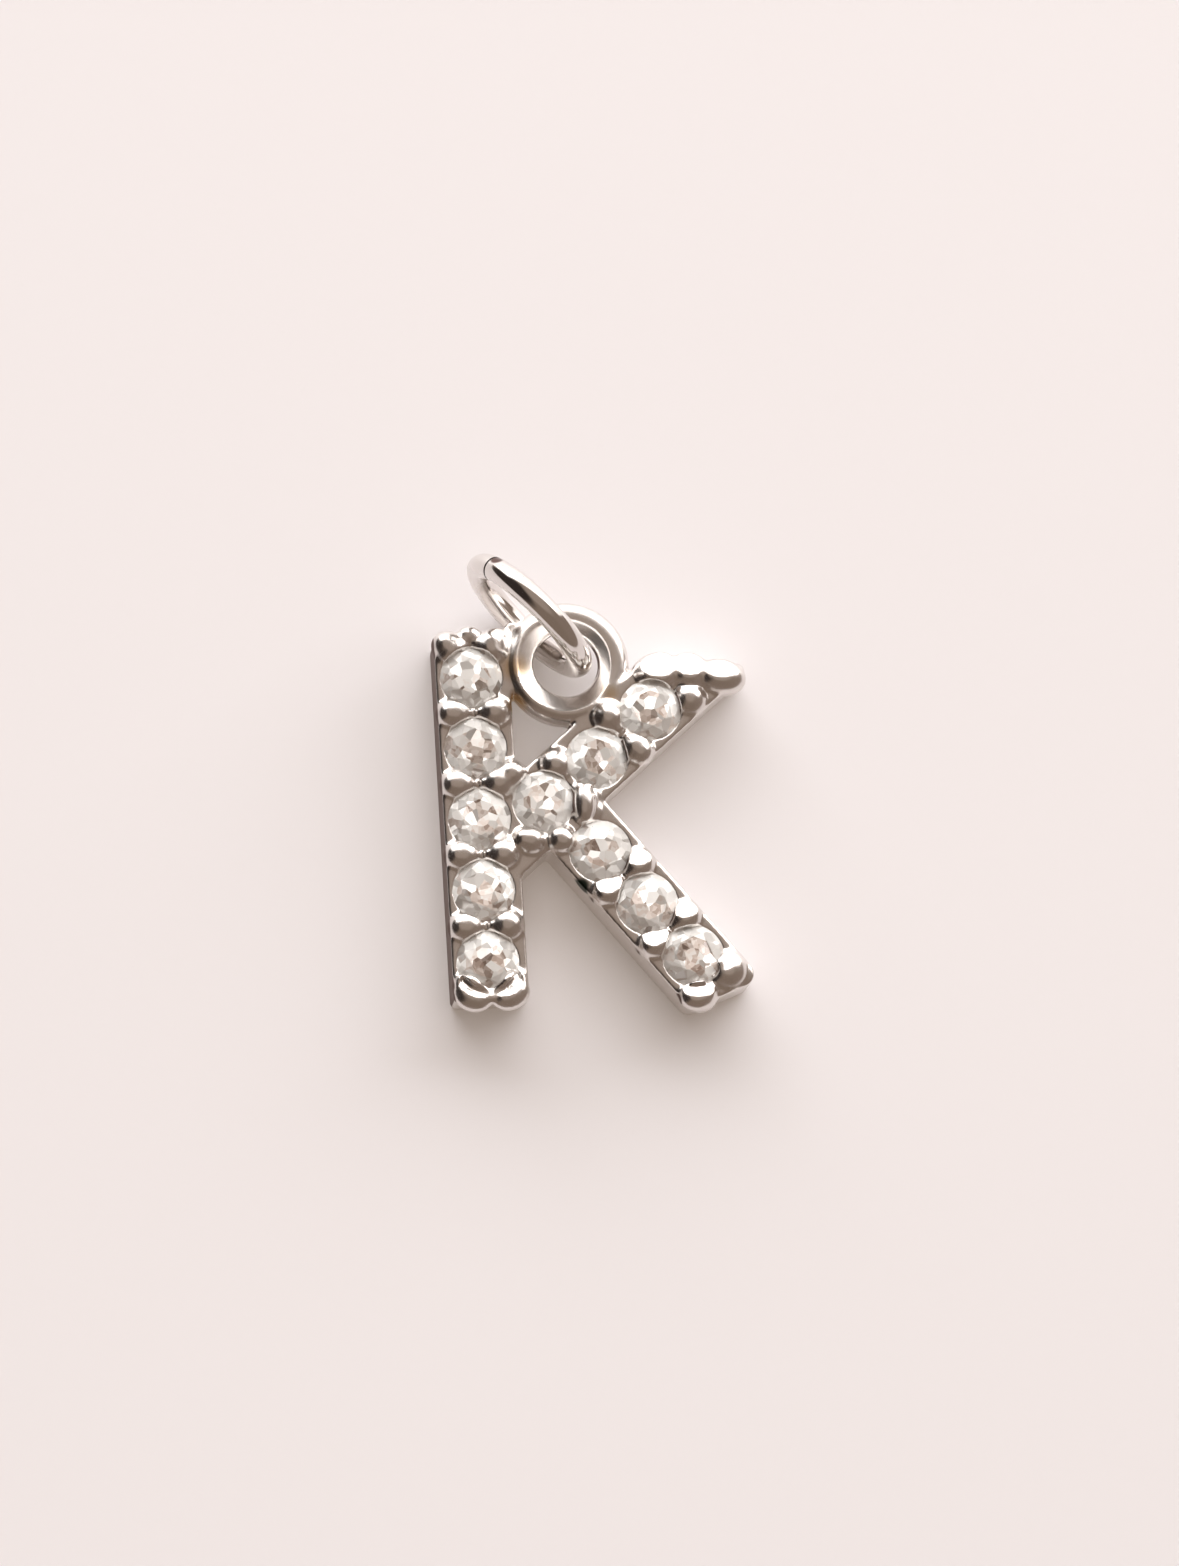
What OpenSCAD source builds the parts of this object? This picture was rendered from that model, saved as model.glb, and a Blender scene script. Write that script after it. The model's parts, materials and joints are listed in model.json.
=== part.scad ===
// Small cast metal letter K charm, pave set with round stones, with a loop and a jump ring.
// Millimetres. The letter lies on its flat back on z = 0, with the stones facing up.
// +Y runs up the letter. The origin is on the back, in the middle of the letter's width and height.

/* [Stones] */
// Diameter of each round stone
stone_d = 1.5; // [1.4:0.05:1.6]
// Width of the stone's table, as a share of its diameter
table_share = 0.58; // [0.5:0.01:0.66]
// Height of the crown, as a share of the diameter
crown_share = 0.15; // [0.11:0.01:0.18]
// Height of the girdle's edge, as a share of the diameter
girdle_share = 0.03; // [0.02:0.005:0.05]
// Depth of the pavilion, as a share of the diameter
pavilion_share = 0.43; // [0.38:0.01:0.46]
// How far the middle of the girdle lies below the top face of the letter
stone_sink = 0.05; // [0.02:0.01:0.1]
// Gap between a stone and the metal of its seat
seat_clearance = 0.02; // [0.01:0.005:0.03]
// Diameter of the hole behind each stone, through the back of the letter
light_hole_d = 0.7; // [0.5:0.05:0.9]

/* [Letter] */
// Thickness of the letter, from its flat back to its top face
letter_h = 1.36; // [1.34:0.02:1.6]
// Metal beside the stones on the upright stem
stem_wall = 0.15; // [0.11:0.01:0.24]
// Metal beside the stones on the upper arm
arm_wall = 0.18; // [0.12:0.01:0.26]
// Metal beside the stones on the lower leg
leg_wall = 0.15; // [0.11:0.01:0.24]
// How far the stem's middle line lies to the right of its stones
stem_shift = 0.04; // [0:0.01:0.08]
// How far the arm's middle line lies above its stones
arm_shift = 0.06; // [0:0.01:0.1]
// Metal past the top stone of the stem
stem_top_tail = 0.32; // [0.2:0.01:0.4]
// Metal past the bottom stone of the stem
stem_foot_tail = 0.16; // [0.1:0.01:0.3]
// Metal past the last stone of the arm, along its middle line
arm_tail = 1.04; // [0.8:0.02:1.1]
// Metal past the last stone of the leg, along its middle line
leg_tail = 0.46; // [0.3:0.02:0.6]
// Angle of the arm above the horizontal
arm_angle = 39.8; // [37:0.2:43]
// Angle of the leg below the horizontal
leg_angle = 52; // [49:0.5:55]
// Slope of the arm's end face, down to the right
arm_end_slope = 9; // [4:1:14]
// Slope of the leg's end face, up to the right
leg_end_slope = 20; // [10:1:30]
// Radius of the rounded corners of the stem and the arm
corner_r = 0.16; // [0.1:0.01:0.24]
// Radius of the rounded corners of the leg
leg_corner_r = 0.32; // [0.2:0.02:0.4]

/* [Stone rows] */
// Gap between neighbouring stones on the stem
stem_gap = 0.23; // [0.18:0.01:0.3]
// Gap between the middle stone of the stem and the junction stone
hub_gap = 0.1; // [0.07:0.01:0.16]
// Direction from the middle stone of the stem to the junction stone
hub_angle = 13; // [10:0.5:16]
// Gap between the junction stone and the first stone of the arm
arm_start_gap = 0.17; // [0.12:0.01:0.24]
// Direction from the junction stone to the first stone of the arm
arm_start_angle = 36.5; // [34:0.5:39]
// Gap between the stones of the arm
arm_gap = 0.28; // [0.2:0.01:0.34]
// Gap between the junction stone and the first stone of the leg
leg_start_gap = 0.31; // [0.25:0.01:0.36]
// Direction down from the junction stone to the first stone of the leg
leg_start_angle = 44.5; // [42:0.5:47]
// Gap between the stones of the leg
leg_gap = 0.17; // [0.12:0.01:0.24]

/* [Prongs] */
// Diameter of the round prongs shared by two stones
prong_d = 0.92; // [0.8:0.02:0.96]
// Diameter of the smaller prongs around the junction stone and on the arm's tip
small_prong_d = 0.76; // [0.66:0.02:0.8]
// Height of the prongs above the top face of the letter
prong_rise = 0.26; // [0.2:0.01:0.3]
// How far a prong stands out of the side wall
prong_proud = 0.03; // [0.02:0.005:0.06]
// How far an end prong stands out of the end face
end_proud = 0.09; // [0.05:0.01:0.14]
// How far the small prongs round the junction stone reach under its edge
hub_prong_lap = 0.12; // [0.08:0.01:0.16]
// How far the end prongs of the leg lie past the middle of its last stone
leg_end_along = 0.77; // [0.7:0.01:0.84]
// Half the angle between the two prongs below the junction stone
hub_lower_spread = 21; // [17:1:24]
// Direction from the junction stone to the prong above it
hub_upper_angle = 136; // [132:1:142]
// Height of the fork's prong above and below the junction stone's middle
fork_prong_up = 0.12; // [0.06:0.02:0.18]
fork_prong_down = 0.26; // [0.2:0.02:0.32]
// Place of the extra prong on the arm's end, past its last stone and above its middle line
tip_extra_along = 0.61; // [0.54:0.01:0.66]
tip_extra_aside = 0.19; // [0.14:0.01:0.24]

/* [Loop] */
// Diameter of the hole in the loop
loop_hole_d = 1.56; // [1.5:0.02:1.7]
// Width of the loop's metal, seen from above
loop_wall = 0.76; // [0.68:0.02:0.8]
// Height of the loop's metal
loop_h = 0.62; // [0.56:0.02:0.63]
// How far the top of the loop lies below the top face of the letter
loop_sink = 0.03; // [0.02:0.01:0.08]
// How deep the loop sits in the side of the stem
stem_bite = 0.16; // [0.08:0.01:0.22]
// How deep the loop sits in the side of the arm
arm_bite = 0.32; // [0.22:0.01:0.38]
// Height of the solder that fills the corner between the stem and the loop
solder_h = 0.42; // [0.36:0.02:0.5]
// Diameter of the solder
solder_d = 0.6; // [0.5:0.02:0.64]

/* [Jump ring] */
// Outer diameter of the jump ring
ring_d = 3.9; // [3.7:0.1:4.1]
// Thickness of the ring's round wire
ring_wire_d = 0.6; // [0.54:0.02:0.62]
// Width of the cut where the ring opens
ring_cut = 0.05; // [0.03:0.01:0.1]
// Direction of the ring's plane, seen from above, clockwise from the horizontal
ring_turn = 47; // [44:0.5:50]
// Lean of the ring's plane away from upright
ring_lean = 0.5; // [0:0.5:3]
// Height of the gap between the ring's lowest stretch and the loop above it
ring_play = 0.11; // [0.09:0.01:0.14]
// How far the loop's rim lies past the ring's lowest point, along the ring's plane
ring_slide = 0.2; // [0.16:0.01:0.24]
// How far the ring's plane passes above the middle of the loop
ring_offset = 0.05; // [0:0.01:0.12]
// Place of the cut, in degrees round the ring from its lower right end
ring_cut_angle = 152; // [100:2:170]

/* [Hidden] */
$fn = 48;

// Height that cutting shapes reach past the metal
over = 1;
// Stones on the stem, and the place of the middle one in the row
stem_count = 5;
stem_middle = 3;
leg_count = 3;
// Corners of the table, and of the girdle
table_corners = 8;
girdle_corners = 2 * table_corners;
// Radius of the stars' outer corners between table (0) and girdle (1)
star_share = 0.5;
// Radius of the lower girdle facets' inner corners, as a share of the girdle's radius
lower_share = 0.26;

function along(a) = [cos(a), sin(a)];
function beside(a) = [-sin(a), cos(a)];
function cross2(p, q) = p.x * q.y - p.y * q.x;
function from(p, a, forward, aside) = p + forward * along(a) + aside * beside(a);

// Sizes of the stones
stone_r = stone_d / 2;
table_r = table_share * stone_r;
crown_h = crown_share * stone_d;
girdle_half = girdle_share * stone_d / 2;
pavilion_h = pavilion_share * stone_d;
girdle_z = letter_h - stone_sink;
table_z = girdle_half + crown_h;
culet_z = -girdle_half - pavilion_h;
kite_slope = crown_h / (stone_r - table_r);
star_r = table_r + star_share * (stone_r - table_r);
star_z = table_z - (star_r * cos(180 / table_corners) - table_r) * kite_slope;

// Half widths of the three strokes
stem_half = stone_r + stem_wall;
arm_half = stone_r + arm_wall;
leg_half = stone_r + leg_wall;

// Centres of the stones, from the middle stone of the stem
stem_pitch = stone_d + stem_gap;
function stem_stone(i) = [0, (stem_middle - i) * stem_pitch];
hub = (stone_d + hub_gap) * along(hub_angle);
arm_1 = hub + (stone_d + arm_start_gap) * along(arm_start_angle);
arm_2 = arm_1 + (stone_d + arm_gap) * along(arm_angle);
leg_1 = hub + (stone_d + leg_start_gap) * along(-leg_start_angle);
function leg_stone(i) = leg_1 + (i - 1) * (stone_d + leg_gap) * along(-leg_angle);

// Lengths of the strokes, from the stone that each is measured from
stem_up = (stem_middle - 1) * stem_pitch + stone_r + stem_top_tail;
stem_down = (stem_count - stem_middle) * stem_pitch + stone_r + stem_foot_tail;
arm_back = arm_1.x / cos(arm_angle);
leg_back = cross2(leg_1 - arm_1, along(arm_angle)) / cross2(along(-leg_angle), along(arm_angle));

// Right tip of the arm, and the middle of the letter, which is the origin
arm_tip = from(arm_2, arm_angle, stone_r + arm_tail + arm_half / tan(arm_end_slope + arm_angle),
  arm_shift - arm_half);
middle = [(arm_tip.x - corner_r + stem_shift - stem_half) / 2, 0];

// Prongs
prong_r = prong_d / 2;
small_prong_r = small_prong_d / 2;
function prong_aside(half, r = prong_r) = half - r + prong_proud;
end_step = stone_r + end_proud - prong_r;

// Loop, lying flat just below the top face of the letter
loop_r = (loop_hole_d + loop_wall) / 2;
loop_out = loop_hole_d / 2 + loop_wall;
loop_z = letter_h - loop_sink - loop_h / 2;
loop_x = stem_shift + stem_half + loop_out - stem_bite;
loop_from_arm = arm_shift + arm_half + loop_out - arm_bite;
loop_y = arm_1.y + (loop_from_arm + (loop_x - arm_1.x) * sin(arm_angle)) / cos(arm_angle);
loop_centre = [loop_x, loop_y];

// Jump ring, which passes under the loop's rim and up through its hole
ring_wire_r = ring_wire_d / 2;
ring_r = ring_d / 2 - ring_wire_r;
ring_bottom = loop_z - loop_h / 2 - ring_play - ring_wire_d;
ring_z = ring_bottom + ring_wire_r + ring_r * cos(ring_lean);
ring_centre = from(loop_centre, -ring_turn, -(loop_r + ring_slide), ring_offset);

// A closed outline with rounded corners
function unit(v) = v / norm(v);
function half_angle(p, a, b) = acos(unit(a - p) * unit(b - p)) / 2;
module rounded(points, r) {
  n = len(points);
  flats = [for (i = [0 : n - 1], next = [false, true])
    let (p = points[i], a = points[(i + n - 1) % n], b = points[(i + 1) % n])
    p + unit((next ? b : a) - p) * r / tan(half_angle(p, a, b))];
  polygon(flats);
  for (i = [0 : n - 1]) {
    p = points[i];
    a = points[(i + n - 1) % n];
    b = points[(i + 1) % n];
    translate(p + unit(unit(a - p) + unit(b - p)) * r / sin(half_angle(p, a, b))) circle(r = r);
  }
}

// One stroke of the letter, with its end face at its own slope
module stroke(start, a, back, reach, half, shift, end_slope, r) {
  lean = 1 / tan(end_slope - a);
  corners = [
    [-back, shift - half],
    [reach - half * lean, shift - half],
    [reach + half * lean, shift + half],
    [-back, shift + half]
  ];
  translate(start) rotate(a) rounded(corners, r);
}

module outline() {
  arm_reach = norm(arm_2 - arm_1) + stone_r + arm_tail;
  leg_reach = norm(leg_stone(leg_count) - leg_1) + stone_r + leg_tail;
  stroke([0, 0], 90, stem_down, stem_up, stem_half, -stem_shift, 0, corner_r);
  stroke(arm_1, arm_angle, arm_back, arm_reach, arm_half, arm_shift, -arm_end_slope, corner_r);
  stroke(leg_1, -leg_angle, leg_back, leg_reach, leg_half, 0, leg_end_slope, leg_corner_r);
}

// A domed prong whose top stands prong_rise above the letter
module prong(p, r = prong_r) {
  translate([p.x, p.y, letter_h + prong_rise - r]) sphere(r = r);
}

// Two prongs, one at each side of a stroke
module prong_pair(p, a, forward, half, shift = 0) {
  for (s = [-1, 1]) prong(from(p, a, forward, shift + s * prong_aside(half)));
}

module stem_prongs() {
  for (i = [1 : stem_count - 1]) prong_pair(stem_stone(i), 90, -stem_pitch / 2, stem_half, -stem_shift);
  prong_pair(stem_stone(1), 90, end_step + stem_top_tail, stem_half, -stem_shift);
  prong_pair(stem_stone(stem_count), 90, -end_step - stem_foot_tail, stem_half, -stem_shift);
}

module arm_prongs() {
  arm_step = stone_d + arm_gap;
  tip_aside = arm_shift - prong_aside(arm_half, small_prong_r);
  prong(from(arm_1, arm_angle, -(stone_d + arm_start_gap) / 2, arm_shift + prong_aside(arm_half)));
  prong_pair(arm_1, arm_angle, arm_step / 2, arm_half, arm_shift);
  prong_pair(arm_2, arm_angle, arm_step / 2, arm_half, arm_shift);
  prong(from(arm_2, arm_angle, stone_r + tip_extra_along, tip_extra_aside), small_prong_r);
  prong(from(arm_2, arm_angle, stone_r + arm_tail, tip_aside), small_prong_r);
}

module leg_prongs() {
  leg_step = stone_d + leg_gap;
  for (i = [1 : leg_count - 1]) prong_pair(leg_stone(i), -leg_angle, leg_step / 2, leg_half);
  prong_pair(leg_stone(leg_count), -leg_angle, leg_end_along, leg_half);
}

// Prongs that hold the junction stone: a pair below it, one above and a long one in the fork
module junction_prongs() {
  reach = stone_r + small_prong_r - hub_prong_lap;
  for (s = [-1, 1]) prong(hub + reach * along(-90 + s * hub_lower_spread), small_prong_r);
  prong(hub + reach * along(hub_upper_angle), small_prong_r);
  for (y = [fork_prong_up, -fork_prong_down]) prong(hub + [reach, y], small_prong_r);
}

// Loop with round edges, soldered to the stem and the arm
module loop() {
  round_r = loop_h / 2;
  flat = loop_wall - loop_h;
  translate([loop_centre.x, loop_centre.y, loop_z])
    rotate_extrude() translate([loop_r, 0]) {
      square([flat, loop_h], center = true);
      for (s = [-1, 1]) translate([s * flat / 2, 0]) circle(r = round_r);
    }
  solder_r = solder_d / 2;
  for (a = [147, 170]) {
    p = loop_centre + (loop_out - solder_r / 3) * along(a);
    translate([p.x, p.y, loop_z]) cylinder(h = solder_h, r = solder_r, center = true);
  }
}

// Seat of one stone: the stone's own section, larger by the clearance, and a hole behind it
module seat() {
  c = seat_clearance;
  hole_r = light_hole_d / 2;
  low = -girdle_half - c - (stone_r + c - hole_r) * pavilion_h / stone_r;
  rotate_extrude() polygon([
    [0, -girdle_z - over],
    [hole_r, -girdle_z - over],
    [hole_r, low],
    [stone_r + c, -girdle_half - c],
    [stone_r + c, girdle_half + c],
    [star_r + c, star_z + c],
    [table_r + c, table_z + c],
    [table_r + c, table_z + over],
    [0, table_z + over]
  ]);
}

module place_stone(p) translate([p.x, p.y, girdle_z]) children();

stones = concat(
  [for (i = [1 : stem_count]) stem_stone(i)],
  [hub, arm_1, arm_2],
  [for (i = [1 : leg_count]) leg_stone(i)]
);

// The cast letter with its prongs and its soldered loop, in one piece
module letter() {
  color("silver") translate([-middle.x, -middle.y, 0]) difference() {
    union() {
      linear_extrude(height = letter_h) outline();
      stem_prongs();
      arm_prongs();
      leg_prongs();
      junction_prongs();
      loop();
    }
    for (p = stones) place_stone(p) seat();
  }
}

// Round brilliant: table, stars, kites, girdle facets and pavilion
module brilliant() {
  step = 360 / table_corners;
  lower_r = lower_share * stone_r;
  lower_z = culet_z + lower_r * cos(step / 2) * pavilion_h / stone_r;
  hull() polyhedron_points(
    concat(
      ring_points(table_corners, 0, table_r, table_z),
      ring_points(table_corners, step / 2, star_r, star_z),
      ring_points(girdle_corners, 0, stone_r, girdle_half),
      ring_points(girdle_corners, 0, stone_r, -girdle_half),
      ring_points(table_corners, step / 2, lower_r, lower_z),
      [[0, 0, culet_z]]
    )
  );
}

function ring_points(n, start, r, z) =
  [for (i = [0 : n - 1]) let (a = start + i * 360 / n) [r * cos(a), r * sin(a), z]];

// A cloud of points for hull(): one triangle for each run of three points
module polyhedron_points(points) {
  n = len(points);
  polyhedron(points = points, faces = [for (i = [0 : n - 3]) [i, i + 1, i + 2]]);
}

module stone(i) {
  color("white") translate([-middle.x, -middle.y, 0]) place_stone(stones[i]) brilliant();
}

// Round wire ring with a fine cut, standing in the loop
module jump_ring() {
  cut = 360 * ring_cut / (2 * PI * ring_r);
  color("gainsboro")
    translate([ring_centre.x - middle.x, ring_centre.y - middle.y, ring_z])
      rotate([0, 0, -ring_turn])
        rotate([90 + ring_lean, 0, 0])
          rotate(ring_cut_angle + cut / 2)
            rotate_extrude(angle = 360 - cut) translate([ring_r, 0]) circle(r = ring_wire_r);
}

letter();
stone(0);  // stone_stem_1
stone(1);  // stone_stem_2
stone(2);  // stone_stem_3
stone(3);  // stone_stem_4
stone(4);  // stone_stem_5
stone(5);  // stone_junction
stone(6);  // stone_arm_1
stone(7);  // stone_arm_2
stone(8);  // stone_leg_1
stone(9);  // stone_leg_2
stone(10);  // stone_leg_3
jump_ring();
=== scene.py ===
import json
import math

import bpy
from mathutils import Matrix, Vector


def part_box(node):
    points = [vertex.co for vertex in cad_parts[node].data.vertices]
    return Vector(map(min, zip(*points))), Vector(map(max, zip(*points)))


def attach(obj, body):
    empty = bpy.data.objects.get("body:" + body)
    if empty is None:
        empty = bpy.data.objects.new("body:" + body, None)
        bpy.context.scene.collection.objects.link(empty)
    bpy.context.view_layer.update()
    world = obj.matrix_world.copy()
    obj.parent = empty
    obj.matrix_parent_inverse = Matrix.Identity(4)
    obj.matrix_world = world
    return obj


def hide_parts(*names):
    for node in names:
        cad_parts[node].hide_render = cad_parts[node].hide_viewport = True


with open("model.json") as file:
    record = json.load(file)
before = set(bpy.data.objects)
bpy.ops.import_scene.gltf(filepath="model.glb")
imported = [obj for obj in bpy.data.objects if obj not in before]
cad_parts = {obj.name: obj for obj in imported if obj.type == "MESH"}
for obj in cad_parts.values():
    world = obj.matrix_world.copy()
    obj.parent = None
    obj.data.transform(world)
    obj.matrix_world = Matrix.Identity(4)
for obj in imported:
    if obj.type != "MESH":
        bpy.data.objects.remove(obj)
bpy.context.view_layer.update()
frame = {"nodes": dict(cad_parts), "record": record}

# Lengths and places are in millimetres, and MM turns them into metres
MM = 0.001

# The stones in their rows, as the frame gives them
STEM = ["stone_stem_1", "stone_stem_2", "stone_stem_3", "stone_stem_4", "stone_stem_5"]
JUNCTION = "stone_junction"
ARM = ["stone_arm_1", "stone_arm_2"]
LEG = ["stone_leg_1", "stone_leg_2", "stone_leg_3"]
STONES = STEM + [JUNCTION] + ARM + LEG

# The prongs end this far above the top face of the letter's strokes, which lies at the height TOP
PRONG_TOP = 0.26
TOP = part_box("letter")[1][2] / MM - PRONG_TOP


def stone_place(node):
    low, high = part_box(node)
    return ((Vector(low) + Vector(high)) / 2).xy / MM


def gaps(row):
    # for each two neighbours, the middle between them and the direction across the row
    for near, far in zip(row, row[1:]):
        here, there = stone_place(near), stone_place(far)
        along = (there - here).normalized()
        yield (here + there) / 2, Vector((-along.y, along.x))


# Small helpers for places and turns
def turn_of_axes(*axes):
    return Matrix(axes).transposed().to_4x4()


def turn_towards(direction):
    return direction.to_track_quat("Z", "Y").to_matrix().to_4x4()


# Camera, at the photograph's viewing angle
PHOTO_WIDTH, PHOTO_HEIGHT = 1179, 1566
PIXELS_PER_MM = 42.0
CAMERA_DISTANCE = 110.0
LEAN_LEFT = math.radians(5.5)
LEAN_DOWN = math.radians(12.0)
CAMERA_ROLL = math.radians(3.6)
# The camera aims at the top of this stone: its height, and where the photograph shows it
AIM_STONE = "stone_stem_3"
AIM_HEIGHT = 1.44
AIM_PIXEL_X, AIM_PIXEL_Y = 479.8, 818.0
SENSOR_WIDTH = 36
NEAREST_SEEN, FARTHEST_SEEN = 1, 10000


def add_camera():
    back = Vector((-math.tan(LEAN_LEFT), -math.tan(LEAN_DOWN), 1)).normalized()
    right = Vector((0, 1, 0)).cross(back).normalized()
    up = back.cross(right)
    roll = Matrix.Rotation(-CAMERA_ROLL, 3, "Z")
    back, right, up = roll @ back, roll @ right, roll @ up
    aim = stone_place(AIM_STONE)
    place = Vector((aim.x, aim.y, AIM_HEIGHT)) + CAMERA_DISTANCE * back
    place -= (AIM_PIXEL_X - PHOTO_WIDTH / 2) / PIXELS_PER_MM * right
    place += (AIM_PIXEL_Y - PHOTO_HEIGHT / 2) / PIXELS_PER_MM * up
    data = bpy.data.cameras.new("studio_camera")
    data.sensor_width = SENSOR_WIDTH
    data.lens = PIXELS_PER_MM * CAMERA_DISTANCE * SENSOR_WIDTH / PHOTO_HEIGHT
    data.clip_start, data.clip_end = NEAREST_SEEN * MM, FARTHEST_SEEN * MM
    camera = bpy.data.objects.new("studio_camera", data)
    camera.matrix_world = Matrix.Translation(place * MM) @ turn_of_axes(right, up, back)
    bpy.context.collection.objects.link(camera)
    bpy.context.scene.camera = camera


# Small helpers for the modelling
def select_only(*pieces):
    if bpy.context.object and bpy.context.object.mode != "OBJECT":
        bpy.ops.object.mode_set(mode="OBJECT")
    bpy.ops.object.select_all(action="DESELECT")
    for piece in pieces:
        piece.select_set(True)
    bpy.context.view_layer.objects.active = pieces[0]


def edit_all_of(piece):
    select_only(piece)
    bpy.ops.object.mode_set(mode="EDIT")
    bpy.ops.mesh.select_all(action="SELECT")


def end_edit():
    bpy.ops.object.mode_set(mode="OBJECT")


def apply_modifiers(piece):
    select_only(piece)
    for modifier in list(piece.modifiers):
        bpy.ops.object.modifier_apply(modifier=modifier.name)


def apply_place(piece):
    select_only(piece)
    bpy.ops.object.transform_apply(location=True, rotation=True, scale=True)


def scale_by(piece, factor):
    piece.scale = (factor,) * 3
    apply_place(piece)


def join(pieces):
    select_only(*pieces)
    bpy.ops.object.join()
    return pieces[0]


def cut_away(piece, cutter):
    cut = piece.modifiers.new("cut", "BOOLEAN")
    cut.solver = "MANIFOLD"
    cut.object = cutter
    apply_modifiers(piece)
    bpy.data.objects.remove(cutter)


def remesh(piece):
    wax = piece.modifiers.new("wax", "REMESH")
    wax.mode = "VOXEL"
    wax.voxel_size = LETTER_VOXEL
    apply_modifiers(piece)


# Small helpers for the materials: a term is a socket to link from, or a plain value
def feed(tree, term, socket):
    if isinstance(term, bpy.types.NodeSocket):
        tree.links.new(term, socket)
    else:
        socket.default_value = term


def compute(tree, operation, *terms):
    node = tree.nodes.new("ShaderNodeMath")
    node.operation = operation
    for term, socket in zip(terms, node.inputs):
        feed(tree, term, socket)
    return node.outputs["Value"]


def compute_vector(tree, operation, *terms):
    node = tree.nodes.new("ShaderNodeVectorMath")
    node.operation = operation
    for term, socket in zip(terms, node.inputs):
        feed(tree, term, socket)
    return node


def soft_share(tree, value, none, full):
    # 0 where the value is none, 1 where it is full, and a soft step between them
    node = tree.nodes.new("ShaderNodeMapRange")
    node.interpolation_type = "SMOOTHSTEP"
    feed(tree, none, node.inputs["From Min"])
    feed(tree, full, node.inputs["From Max"])
    feed(tree, value, node.inputs["Value"])
    return node.outputs["Result"]


def blend(tree, kind, share, under, over):
    node = tree.nodes.new("ShaderNodeMix")
    node.data_type = kind
    feed(tree, share, node.inputs["Factor"])
    feed(tree, under, node.inputs["A"])
    feed(tree, over, node.inputs["B"])
    return node.outputs["Result"]


def noise(tree, place, size, detail, roughness):
    node = tree.nodes.new("ShaderNodeTexNoise")
    node.inputs["Detail"].default_value = detail
    node.inputs["Roughness"].default_value = roughness
    feed(tree, place, node.inputs["Vector"])
    feed(tree, size, node.inputs["Scale"])
    return node.outputs["Fac"]


def upward(tree, place):
    # how far the surface faces up: the height of its normal
    parts = tree.nodes.new("ShaderNodeSeparateXYZ")
    feed(tree, place.outputs["Normal"], parts.inputs["Vector"])
    return parts.outputs["Z"]


def new_group(name, inputs, outputs):
    group = bpy.data.node_groups.new(name, "ShaderNodeTree")
    sockets = group.interface
    for socket, value in inputs.items():
        kind = "NodeSocketColor" if isinstance(value, tuple) else "NodeSocketFloat"
        sockets.new_socket(socket, in_out="INPUT", socket_type=kind).default_value = value
    for socket, kind in outputs.items():
        sockets.new_socket(socket, in_out="OUTPUT", socket_type=kind)
    given = group.nodes.new("NodeGroupInput")
    result = group.nodes.new("NodeGroupOutput")
    return group, given.outputs, result.inputs


def new_material(name, group, **values):
    material = bpy.data.materials.new(name)
    material.use_nodes = True
    tree = material.node_tree
    shading = tree.nodes.new("ShaderNodeGroup")
    shading.node_tree = group
    for socket, value in values.items():
        shading.inputs[socket.replace("_", " ")].default_value = value
    return material, tree.nodes["Principled BSDF"].inputs, shading.outputs


# Shared shading: fine waves, scratches and tone of polished, plated metal.
# A pattern's size is its scale per metre, so a larger one is finer
POLISH = {
    "Wave Size": 600.0,
    "Scratch Size": 3000.0,
    "Tone": 0.06,
    "Dullness": 0.05,
    "Side Dullness": 0.2,
    "Bright": (0.84, 0.81, 0.79, 1),
    "Deep": (0.66, 0.59, 0.53, 1),
}
# What the scratches add to the dullness, and to the height of the waves
SCRATCH_DULLNESS = 0.08
SCRATCH_HEIGHT = 0.08
# A face that points up or down by the first amount is no side wall, by the second wholly one
SIDE_NONE, SIDE_FULL = 0.3, 0.05


def polish_group():
    group, given, result = new_group("hand_polish", POLISH, {
        "Colour": "NodeSocketColor",
        "Roughness": "NodeSocketFloat",
        "Height": "NodeSocketFloat",
    })
    place = group.nodes.new("ShaderNodeTexCoord")
    waves = noise(group, place.outputs["Object"], given["Wave Size"], detail=2, roughness=0.5)
    scratches = noise(group, place.outputs["Object"], given["Scratch Size"], detail=6, roughness=0.7)
    deepness = compute(group, "MULTIPLY", waves, given["Tone"])
    colour = blend(group, "RGBA", deepness, given["Bright"], given["Deep"])
    dullness = compute(group, "MULTIPLY_ADD", scratches, SCRATCH_DULLNESS, given["Dullness"])
    # the side walls are less polished than the face
    side = soft_share(group, compute(group, "ABSOLUTE", upward(group, place)), SIDE_NONE, SIDE_FULL)
    dullness = compute(group, "MULTIPLY_ADD", side, given["Side Dullness"], dullness)
    height = compute(group, "MULTIPLY_ADD", scratches, SCRATCH_HEIGHT, waves)
    feed(group, colour, result["Colour"])
    feed(group, dullness, result["Roughness"])
    feed(group, height, result["Height"])
    return group


RELIEF_DEPTH = 0.01
# Painted shade: the wall facing west is painted a dark colour, and given a duller finish too: the way
# it faces, and how nearly a face looks that way where the wall begins and where it is full
SHADED_WALL_WAY = (-1, 0, 0)
SHADED_WALL_NONE, SHADED_WALL_FULL = 0.78, 0.88
SHADED_WALL_PAINT = (0.19, 0.14, 0.125, 1)
SHADED_WALL_DULLNESS = 0.6
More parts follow.
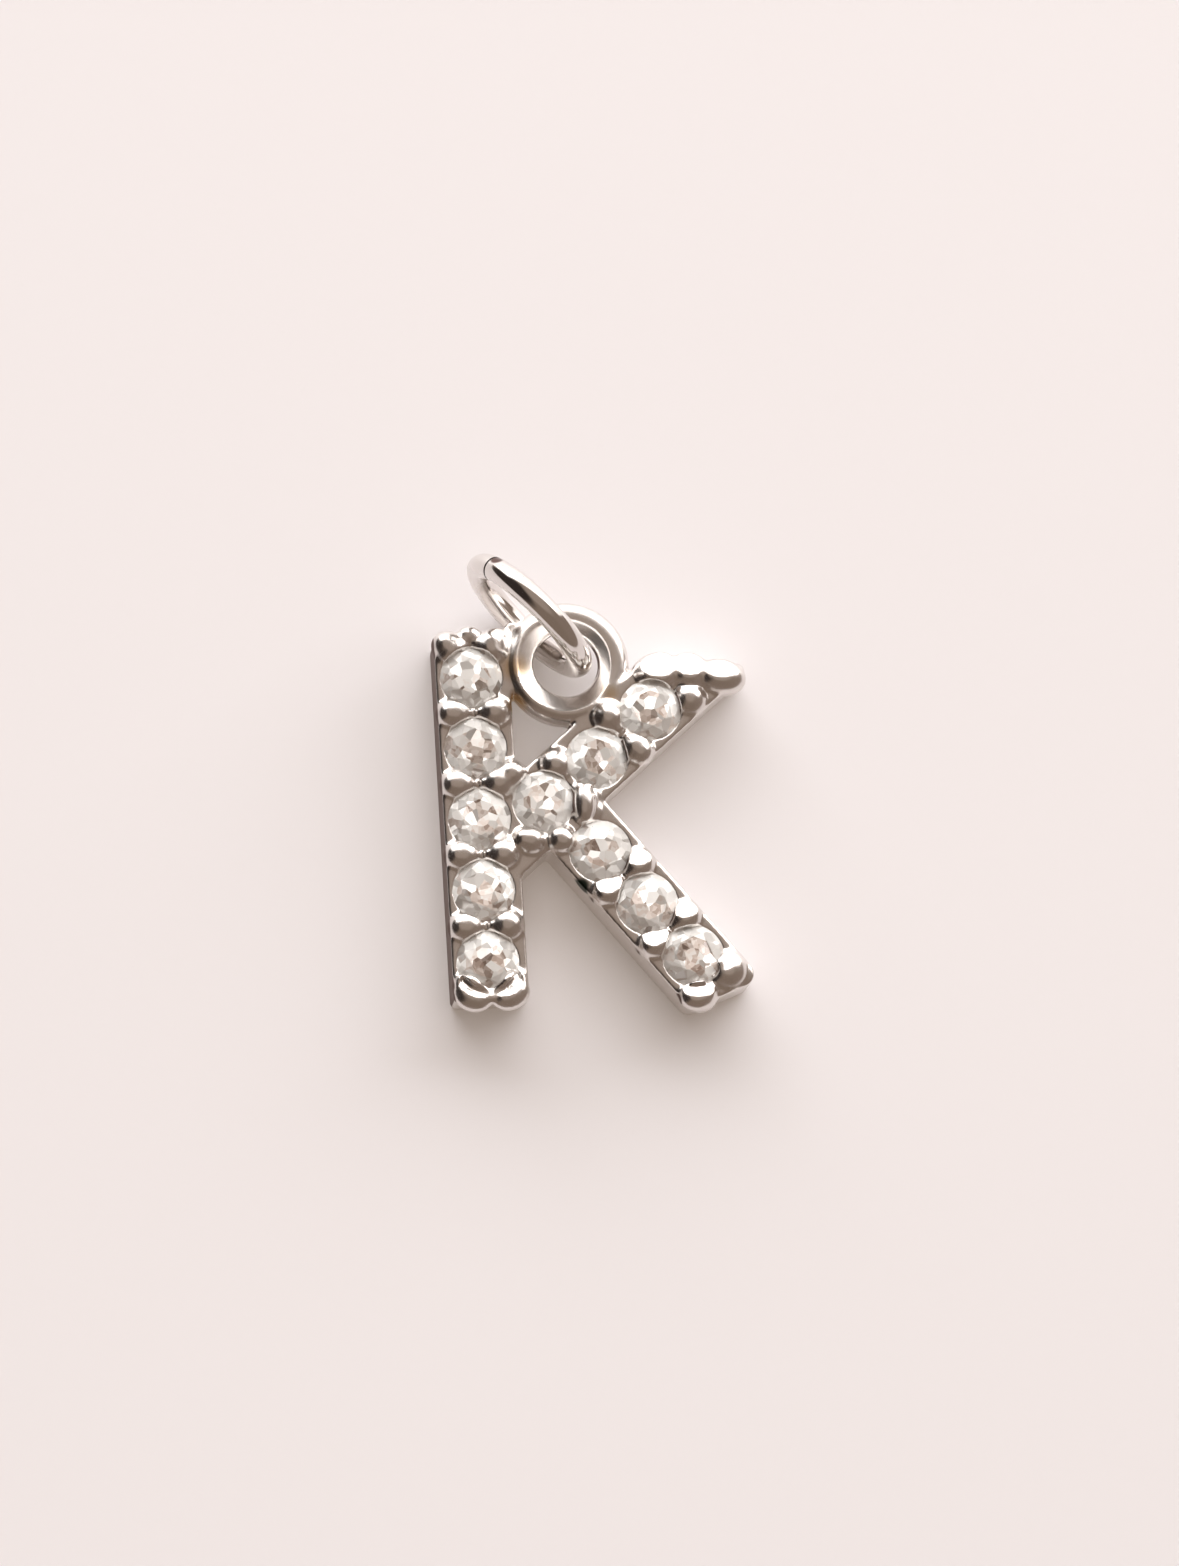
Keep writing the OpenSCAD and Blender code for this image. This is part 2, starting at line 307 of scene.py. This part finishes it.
# Stains and painted shade: middle, how far it is full, how far it reaches, colour.
# Golden solder beside the loop, and painted shade darkening the hollow in the side of the leg
LETTER_STAINS_AND_SHADE = [
    ((-1.85, 3.66, 1.2), 0.15, 0.5, (0.72, 0.55, 0.36)),
    ((-1.8, 2.85, 1.2), 0.1, 0.4, (0.72, 0.56, 0.38)),
    ((0.42, 2.92, 1.2), 0.1, 0.35, (0.75, 0.6, 0.42)),
    ((-0.55, -1.72, 1.22), 0.16, 0.28, (0.03, 0.045, 0.035)),
]
# Painted shade: the end of the wire beside the ring's cut is painted dark
RING_PAINTED_SHADE = [((-2.31, 5.88, 3.34), 0.12, 0.2, (0.14, 0.09, 0.08))]


def metal(name, polish, relief, stains_and_shade, painted_shade_wall=False, **values):
    material, surface, polished = new_material(name, polish, **values)
    tree = material.node_tree
    place = tree.nodes.new("ShaderNodeTexCoord")
    colour, dullness = polished["Colour"], polished["Roughness"]
    # each mark blends in its colour by distance: a stain, or painted shade where the mark is dark
    for middle, full, reach, paint in stains_and_shade:
        away = compute_vector(tree, "DISTANCE", place.outputs["Object"], Vector(middle) * MM)
        share = soft_share(tree, away.outputs["Value"], reach * MM, full * MM)
        colour = blend(tree, "RGBA", share, colour, (*paint, 1))
    # painted shade: the wall facing one way is painted dark, and made duller
    if painted_shade_wall:
        facing = compute_vector(tree, "DOT_PRODUCT", place.outputs["Normal"], SHADED_WALL_WAY)
        share = soft_share(tree, facing.outputs["Value"], SHADED_WALL_NONE, SHADED_WALL_FULL)
        colour = blend(tree, "RGBA", share, colour, SHADED_WALL_PAINT)
        dullness = blend(tree, "FLOAT", share, dullness, SHADED_WALL_DULLNESS)
    bump = tree.nodes.new("ShaderNodeBump")
    bump.inputs["Strength"].default_value = relief
    bump.inputs["Distance"].default_value = RELIEF_DEPTH * MM
    feed(tree, polished["Height"], bump.inputs["Height"])
    surface["Metallic"].default_value = 1
    feed(tree, colour, surface["Base Color"])
    feed(tree, dullness, surface["Roughness"])
    feed(tree, bump.outputs["Normal"], surface["Normal"])
    return material


# Painted reflections and glints: the facets seen through a stone are painted, each with its own light
# or dark tone, and each large one gets its own tilt too.
# Their sizes are scales as well
FACETS = {
    "Large Facet Size": 4400.0,
    "Small Facet Size": 9000.0,
    "Tilt": 1.0,
    "Rim Light": 0.24,
}
CUT_FACET_SIZE = 3.0
# How much the cut, large and small facets each add to the painted glint tone
CUT_SHARE, LARGE_SHARE, SMALL_SHARE = 0.25, 0.55, 0.2
# Painted light by facing: the table is painted as the dark middle, and the slopes round it bright: how
# far up each faces, and its light
TABLE_UPWARD, TABLE_LIGHT = 0.99, -0.35
SLOPE_UPWARD, SLOPE_LIGHT = 0.9, 1.0
# Painted reflection colours of the facets by their tone, from dark to bright
PAINTED_GLINT_COLOURS = [
    (0.16, (0.34, 0.24, 0.19, 1)),
    (0.3, (0.64, 0.52, 0.45, 1)),
    (0.43, (0.95, 0.84, 0.77, 1)),
    (0.57, (1, 0.98, 0.95, 1)),
]
MIDDLE_GREY = (0.5, 0.5, 0.5)


def painted_glint_group():
    group, given, result = new_group("painted_facet_glints", FACETS, {
        "Colour": "NodeSocketColor",
        "Normal": "NodeSocketVector",
    })
    place = group.nodes.new("ShaderNodeTexCoord")

    def cells(where, size):
        texture = group.nodes.new("ShaderNodeTexVoronoi")
        feed(group, place.outputs[where], texture.inputs["Vector"])
        feed(group, size, texture.inputs["Scale"])
        parts = group.nodes.new("ShaderNodeSeparateColor")
        feed(group, texture.outputs["Color"], parts.inputs["Color"])
        return texture.outputs["Color"], parts.outputs["Red"]

    cut_tone = cells("Normal", CUT_FACET_SIZE)[1]
    large_colour, large_tone = cells("Object", given["Large Facet Size"])
    small_tone = cells("Object", given["Small Facet Size"])[1]
    tone = compute(group, "MULTIPLY", small_tone, SMALL_SHARE)
    tone = compute(group, "MULTIPLY_ADD", large_tone, LARGE_SHARE, tone)
    tone = compute(group, "MULTIPLY_ADD", cut_tone, CUT_SHARE, tone)
    light = group.nodes.new("ShaderNodeMapRange")
    light.inputs["From Min"].default_value = TABLE_UPWARD
    light.inputs["From Max"].default_value = SLOPE_UPWARD
    light.inputs["To Min"].default_value = TABLE_LIGHT
    light.inputs["To Max"].default_value = SLOPE_LIGHT
    feed(group, upward(group, place), light.inputs["Value"])
    tone = compute(group, "MULTIPLY_ADD", light.outputs["Result"], given["Rim Light"], tone)
    ramp = group.nodes.new("ShaderNodeValToRGB")
    points = ramp.color_ramp.elements
    points[0].position, points[0].color = PAINTED_GLINT_COLOURS[0]
    points[1].position, points[1].color = PAINTED_GLINT_COLOURS[-1]
    for position, paint in PAINTED_GLINT_COLOURS[1:-1]:
        points.new(position).color = paint
    feed(group, tone, ramp.inputs["Fac"])
    feed(group, ramp.outputs["Color"], result["Colour"])
    # the colour of a large facet, which differs from middle grey by chance, tilts its normal
    shift = compute_vector(group, "SUBTRACT", large_colour, MIDDLE_GREY)
    tilt = compute_vector(group, "SCALE", shift.outputs["Vector"])
    feed(group, given["Tilt"], tilt.inputs["Scale"])
    surface = group.nodes.new("ShaderNodeNewGeometry")
    tilted = compute_vector(group, "ADD", surface.outputs["Normal"], tilt.outputs["Vector"])
    normal = compute_vector(group, "NORMALIZE", tilted.outputs["Vector"])
    feed(group, normal.outputs["Vector"], result["Normal"])
    return group


def clear_stone():
    material, surface, painted_glints = new_material("clear_stone", painted_glint_group())
    surface["Transmission Weight"].default_value = 0.3
    surface["IOR"].default_value = 2.1
    surface["Metallic"].default_value = 0
    surface["Roughness"].default_value = 0.05
    # the base colour is painted reflections and glints, light and dark by facet
    feed(material.node_tree, painted_glints["Colour"], surface["Base Color"])
    feed(material.node_tree, painted_glints["Normal"], surface["Normal"])
    return material


# The cast letter: the solid of the frame with softer prongs, beads and a rounder loop, cast in one
LETTER_VOXEL = 0.038
MERGE_DISTANCE = 0.0005
SMOOTH_ROUNDS, SMOOTH_STRENGTH = 6, 0.5
# Share of the faces kept: those that go lie on the flat walls and the back
FACES_KEPT = 0.6
# Half prongs: cones on their side, from a domed end at the wall towards the middle of the row
PRONG_R = 0.37
PRONG_TIP_R = 0.11
PRONG_TIP_TOP = 0.12
PRONG_TIP_ASIDE = 0.05
DOME_SEGMENTS, DOME_RINGS = 40, 20
# Distance of the domes from the row's middle line
STEM_ASIDE, ARM_ASIDE, LEG_ASIDE = 0.55, 0.57, 0.54
# Distance of the stem's topmost pair from the middle of the first stone
HEAD_PAIR_ABOVE = 0.82
# Half prongs that hold the junction stone from below: dome, tip, radius
LOOSE_PRONGS = [
    ((-1.86, -0.55), (-1.4, -0.63), 0.3),
    ((-0.92, -0.62), (-1.22, -0.66), 0.3),
]
# Rooms kept free above each stone and in the fork, until the prongs are added: radius,
# height of the floor above the top face, and segments
STONE_ROOM = (0.7, 0.005, 72)
FORK_ROOM = (0.5, 0.05, 48)
ROOM_DEPTH = 1
# Lip of metal pressed over each stone's edge, a thin ring
LIP_R, LIP_WIRE_R, LIP_DROP = 0.76, 0.055, 0.045
LIP_SEGMENTS, LIP_WIRE_SEGMENTS = 72, 16
# Beads: middle, half length, half width, turn in degrees, height above the top face, flatness.
# These are cut by the stones' rooms: the arm's upper edge, the stem's top edge,
# the foot of the stem and the end of the leg
CUT_BEADS = [
    ((1.6, 3.38), 0.64, 0.56, 8, 0.3, 1),
    ((2.36, 3.4), 0.54, 0.5, -8, 0.3, 1),
    ((3.12, 3.24), 0.64, 0.46, -10, 0.32, 1),
    ((-3.42, 4.42), 0.3, 0.24, 0, 0.14, 1),
    ((-2.9, 4.5), 0.3, 0.24, 0, 0.16, 1),
    ((-2.25, 4.44), 0.32, 0.24, 0, 0.14, 1),
    ((-3.3, -4.22), 0.5, 0.42, -24, 0.22, 0.7),
    ((-2.42, -4.22), 0.5, 0.42, 20, 0.22, 0.7),
    ((2.8, -3.92), 0.5, 0.48, -35, 0.26, 0.8),
    ((2.02, -4.5), 0.44, 0.38, 0, 0.24, 0.8),
]
# No room cuts the long one in the fork between arm and leg, and the small one between those at the foot
FORK_PLACE = (-0.38, 0.25)
FREE_BEADS = [
    (FORK_PLACE, 0.52, 0.29, 88, 0.28, 1),
    ((-2.88, -4.33), 0.13, 0.13, 0, 0.14, 1),
]
# Slopes filed on beads, all falling to the north: a point on the crest, its height above
# the top face, turn and slope in degrees, length and width.
# The arm's upper edge, the foot of the stem and the end of the leg
FILED = [
    ((2.35, 3.24), 0.26, 0, 22, 3.0, 1.2),
    ((-3.28, -4.25), 0.17, -24, 29, 0.9, 0.8),
    ((-2.45, -4.26), 0.17, 22, 29, 0.9, 0.8),
    ((2.82, -3.93), 0.24, 22, 22, 0.8, 0.7),
    ((2.0, -4.52), 0.2, 0, 29, 0.8, 0.7),
]
# The domes of the leg's prongs are filed too: the crest lies this far south of the dome's middle,
# and the other values are as above
DOME_CREST = 0.1
DOME_FILED = (0.246, 8, 24, 0.8, 0.6)
# The block that is filed away: its height, and how far it reaches behind the crest
FILED_HEIGHT, FILED_BEHIND = 0.8, 0.1
# The loop's rounder, slightly tilted rim, countersunk round its hole
LOOP_PLACE = (-0.583, 3.745, 1.02)
LOOP_R, LOOP_RIM_R = 1.16, 0.37
LOOP_TILT = (math.radians(-2.8), math.radians(2.8), 0)
LOOP_SEGMENTS, LOOP_RIM_SEGMENTS = 96, 40
# The countersink: radius and height of its low end, depth and slope
SINK_R, SINK_LOW, SINK_DEPTH = 0.8, 1.14, 0.44
SINK_SLOPE = math.radians(35)


def half_prong(place, towards, radius=PRONG_R):
    # a cone on its side from the dome at the wall to the tip, and the dome
    start = Vector((*place, TOP + PRONG_TOP - radius))
    axis = Vector((*towards, TOP + PRONG_TIP_TOP - PRONG_TIP_R)) - start
    bpy.ops.mesh.primitive_cone_add(vertices=DOME_SEGMENTS, radius1=radius, radius2=PRONG_TIP_R,
                                    depth=axis.length)
    cone = bpy.context.object
    cone.matrix_world = Matrix.Translation(start + axis / 2) @ turn_towards(axis)
    apply_place(cone)
    bpy.ops.mesh.primitive_uv_sphere_add(segments=DOME_SEGMENTS, ring_count=DOME_RINGS,
                                         radius=radius, location=start)
    return [cone, bpy.context.object]


def prong_pair(middle, beside, aside):
    pair = []
    for side in (1, -1):
        dome = middle + side * aside * beside
        tip = middle + side * PRONG_TIP_ASIDE * beside
        pair += half_prong(dome, tip)
    return pair


def all_prongs():
    prongs = []
    for row, aside in ((STEM, STEM_ASIDE), (ARM, ARM_ASIDE), (LEG, LEG_ASIDE)):
        for middle, beside in gaps(row):
            prongs += prong_pair(middle, beside, aside)
    head = stone_place(STEM[0]) + Vector((0, HEAD_PAIR_ABOVE))
    prongs += prong_pair(head, Vector((-1, 0)), STEM_ASIDE)
    for dome, tip, radius in LOOSE_PRONGS:
        prongs += half_prong(dome, tip, radius)
    return prongs


def add_bead(place, half_length, half_width, turn, top, flatness):
    half_height = half_width * flatness
    bpy.ops.mesh.primitive_uv_sphere_add(segments=DOME_SEGMENTS, ring_count=DOME_RINGS, radius=1,
                                         location=(*place, TOP + top - half_height),
                                         rotation=(0, 0, math.radians(turn)),
                                         scale=(half_length, half_width, half_height))
    bead = bpy.context.object
    apply_place(bead)
    return bead


def filing_block(crest, top, turn, slope, length, width):
    tilt = Matrix.Rotation(math.radians(turn), 3, "Z") @ Matrix.Rotation(math.radians(-slope), 3, "X")
    middle = Vector((0, width / 2 - FILED_BEHIND, FILED_HEIGHT / 2))
    place = Vector((*crest, TOP + top)) + tilt @ middle
    bpy.ops.mesh.primitive_cube_add(size=1, location=place, rotation=tilt.to_euler(),
                                    scale=(length, width, FILED_HEIGHT))
    return bpy.context.object


def leg_files():
    blocks = []
    for middle, beside in gaps(LEG):
        for side in (1, -1):
            dome = middle + side * LEG_ASIDE * beside
            blocks.append(filing_block((dome.x, dome.y - DOME_CREST), *DOME_FILED))
    return join(blocks)


def loop_rim():
    bpy.ops.mesh.primitive_torus_add(major_radius=LOOP_R, minor_radius=LOOP_RIM_R,
                                     major_segments=LOOP_SEGMENTS, minor_segments=LOOP_RIM_SEGMENTS,
                                     location=LOOP_PLACE, rotation=LOOP_TILT)
    return bpy.context.object


def loop_sink():
    wide = SINK_R + SINK_DEPTH / math.tan(SINK_SLOPE)
    bpy.ops.mesh.primitive_cone_add(vertices=LOOP_SEGMENTS, radius1=SINK_R, radius2=wide,
                                    depth=SINK_DEPTH,
                                    location=(*LOOP_PLACE[:2], SINK_LOW + SINK_DEPTH / 2))
    return bpy.context.object


def room_above(place, radius, floor, segments):
    bpy.ops.mesh.primitive_cylinder_add(vertices=segments, radius=radius, depth=ROOM_DEPTH,
                                        location=(*place, TOP + floor + ROOM_DEPTH / 2))
    return bpy.context.object


def all_rooms():
    rooms = [room_above(stone_place(node), *STONE_ROOM) for node in STONES]
    rooms.append(room_above(FORK_PLACE, *FORK_ROOM))
    rooms += [filing_block(*filed) for filed in FILED]
    rooms.append(loop_sink())
    return join(rooms)


def stone_lips():
    lips = []
    for node in STONES:
        bpy.ops.mesh.primitive_torus_add(major_radius=LIP_R, minor_radius=LIP_WIRE_R,
                                         major_segments=LIP_SEGMENTS, minor_segments=LIP_WIRE_SEGMENTS,
                                         location=(*stone_place(node), TOP - LIP_DROP))
        lips.append(bpy.context.object)
    return lips


def cast_letter(material):
    # modelled a thousand times larger, so that a millimetre is one unit
    letter = bpy.data.objects.new("cast_letter", frame["nodes"]["letter"].data.copy())
    bpy.context.collection.objects.link(letter)
    scale_by(letter, 1 / MM)
    edit_all_of(letter)
    bpy.ops.mesh.remove_doubles(threshold=MERGE_DISTANCE)
    end_edit()
    join([letter, loop_rim()] + [add_bead(*bead) for bead in CUT_BEADS])
    remesh(letter)
    cut_away(letter, all_rooms())
    prongs = all_prongs()
    beads = [add_bead(*bead) for bead in FREE_BEADS]
    join([letter] + prongs + beads + stone_lips())
    remesh(letter)
    cut_away(letter, leg_files())
    remesh(letter)
    smooth = letter.modifiers.new("tumble", "SMOOTH")
    smooth.factor = SMOOTH_STRENGTH
    smooth.iterations = SMOOTH_ROUNDS
    lighten = letter.modifiers.new("lighten", "DECIMATE")
    lighten.ratio = FACES_KEPT
    apply_modifiers(letter)
    scale_by(letter, MM)
    letter.data.materials.clear()
    letter.data.materials.append(material)
    bpy.ops.object.shade_smooth()
    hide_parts("letter")
    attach(letter, "root")


# The jump ring: round wire bent to a ring, with its two cut ends
RING_R = 1.65
WIRE_R = 0.3
RING_CUT = 0.05
RING_CUT_ANGLE = math.radians(40)
RING_STEPS, WIRE_SEGMENTS = 180, 48
RING_MERGE_DISTANCE = 0.00001
SHARP_EDGE = math.radians(40)


def jump_ring(material):
    eye = next(mount for mount in frame["record"]["mounts"] if mount["name"] == "chain_eye")
    centre, axis = Vector(eye["pos_m"]), Vector(eye["axis"])
    bpy.ops.object.select_all(action="DESELECT")
    bpy.ops.mesh.primitive_circle_add(vertices=WIRE_SEGMENTS, radius=WIRE_R * MM, fill_type="NGON",
                                      location=(RING_R * MM, 0, 0), rotation=(math.pi / 2, 0, 0))
    ring = bpy.context.object
    ring.name = "wire_ring"
    apply_place(ring)
    edit_all_of(ring)
    bpy.ops.mesh.spin(steps=RING_STEPS, angle=2 * math.pi - RING_CUT / RING_R,
                      center=(0, 0, 0), axis=(0, 0, 1))
    bpy.ops.mesh.select_all(action="SELECT")
    bpy.ops.mesh.remove_doubles(threshold=RING_MERGE_DISTANCE * MM)
    end_edit()
    edit_all_of(ring)
    bpy.ops.mesh.normals_make_consistent(inside=False)
    end_edit()
    across = Vector((0, 0, 1)).cross(axis).normalized()
    stand = Matrix.Translation(centre) @ turn_of_axes(across, axis.cross(across), axis)
    ring.matrix_world = stand @ Matrix.Rotation(RING_CUT_ANGLE, 4, "Z")
    apply_place(ring)
    ring.data.materials.append(material)
    bpy.ops.object.shade_smooth_by_angle(angle=SHARP_EDGE)
    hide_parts("jump_ring")
    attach(ring, "root")


# The stones keep the shapes of the frame
def dress_stones(material):
    for node in STONES:
        stone = frame["nodes"][node]
        stone.data.materials.clear()
        stone.data.materials.append(material)


# The floor, just under the letter's back
FLOOR_SIZE, FLOOR_DROP = 2000, 0.01


def pale_floor():
    bpy.ops.object.select_all(action="DESELECT")
    bpy.ops.mesh.primitive_plane_add(size=FLOOR_SIZE * MM, location=(0, 0, -FLOOR_DROP * MM))
    floor = bpy.context.object
    floor.name = "pale_floor"
    material = bpy.data.materials.new("pale_floor")
    material.use_nodes = True
    surface = material.node_tree.nodes["Principled BSDF"].inputs
    surface["Base Color"].default_value = (0.612, 0.598, 0.627, 1)
    surface["Roughness"].default_value = 0.4
    # a little light of its own stands for what a pale floor passes on into the shade
    surface["Emission Color"].default_value = (0.95, 0.79, 0.64, 1)
    surface["Emission Strength"].default_value = 0.17
    floor.data.materials.append(material)


# Parts of the room, as seen from the letter: direction, where it is full and where it ends in degrees,
# and colour
ROOM = [
    ((0.0, -1.0, 0.4), 35, 75, (0.22, 0.165, 0.13)),
    ((1.0, -0.2, 0.3), 20, 60, (0.24, 0.18, 0.145)),
    ((-1.0, 0.1, 0.45), 32, 50, (0.035, 0.026, 0.023)),
    ((0.05, 0.05, 1.0), 14, 34, (0.34, 0.27, 0.225)),
]
ROOM_COLOUR = (0.26, 0.21, 0.175, 1)


def studio_room():
    world = bpy.data.worlds.new("studio_room")
    world.use_nodes = True
    bpy.context.scene.world = world
    tree = world.node_tree
    place = tree.nodes.new("ShaderNodeTexCoord")
    colour = ROOM_COLOUR
    for direction, full, end, paint in ROOM:
        way = Vector(direction).normalized()
        nearness = compute_vector(tree, "DOT_PRODUCT", place.outputs["Generated"], way)
        none, whole = math.cos(math.radians(end)), math.cos(math.radians(full))
        share = soft_share(tree, nearness.outputs["Value"], none, whole)
        colour = blend(tree, "RGBA", share, colour, (*paint, 1))
    feed(tree, colour, tree.nodes["Background"].inputs["Color"])


# Lights, all aimed at the letter: place, width and height, power, colour
WINDOW_PLACE = (140, 600, 341)
WINDOW_SIZE = (1600, 520)
WINDOW_COLOUR = (1, 0.985, 0.975)
NORTH_WINDOW = (WINDOW_PLACE, WINDOW_SIZE, 9, WINDOW_COLOUR)
NORTH_GLOW = (WINDOW_PLACE, WINDOW_SIZE, 10, WINDOW_COLOUR)
LIT_WALL = (WINDOW_PLACE, (2000, 800), 5.2, (1, 0.96, 0.93))
CEILING_FILL = ((0, 100, 500), (500, 500), 0.85, (1, 0.95, 0.9))


def soft_light(name, place, size, power, colour):
    data = bpy.data.lights.new(name, "AREA")
    data.shape = "RECTANGLE"
    data.size, data.size_y = size[0] * MM, size[1] * MM
    data.energy = power
    data.color = colour
    lamp = bpy.data.objects.new(name, data)
    away = Vector(place) * MM
    lamp.matrix_world = Matrix.Translation(away) @ turn_towards(away)
    bpy.context.collection.objects.link(lamp)
    return lamp


def add_lights():
    # the metal mirrors the window and the lighter wall round it, but not the glow and the fill
    soft_light("north_window", *NORTH_WINDOW)
    glow = soft_light("north_glow", *NORTH_GLOW)
    glow.visible_glossy = False
    wall = soft_light("lit_wall", *LIT_WALL)
    wall.visible_diffuse = False
    fill = soft_light("ceiling_fill", *CEILING_FILL)
    fill.visible_glossy = False


# Everything is made in this order
hand_polish = polish_group()
letter_metal = metal("cast_metal", hand_polish, relief=0.15, stains_and_shade=LETTER_STAINS_AND_SHADE, painted_shade_wall=True,
                     Wave_Size=900.0, Scratch_Size=6000.0, Tone=0.25, Dullness=0.19)
ring_metal = metal("ring_metal", hand_polish, relief=0.1, stains_and_shade=RING_PAINTED_SHADE,
                   Wave_Size=500.0, Scratch_Size=5000.0, Tone=0.2, Dullness=0.07)
stone_material = clear_stone()

add_camera()
pale_floor()
studio_room()
add_lights()
cast_letter(letter_metal)
jump_ring(ring_metal)
dress_stones(stone_material)

bpy.context.scene.view_settings.view_transform = "Standard"
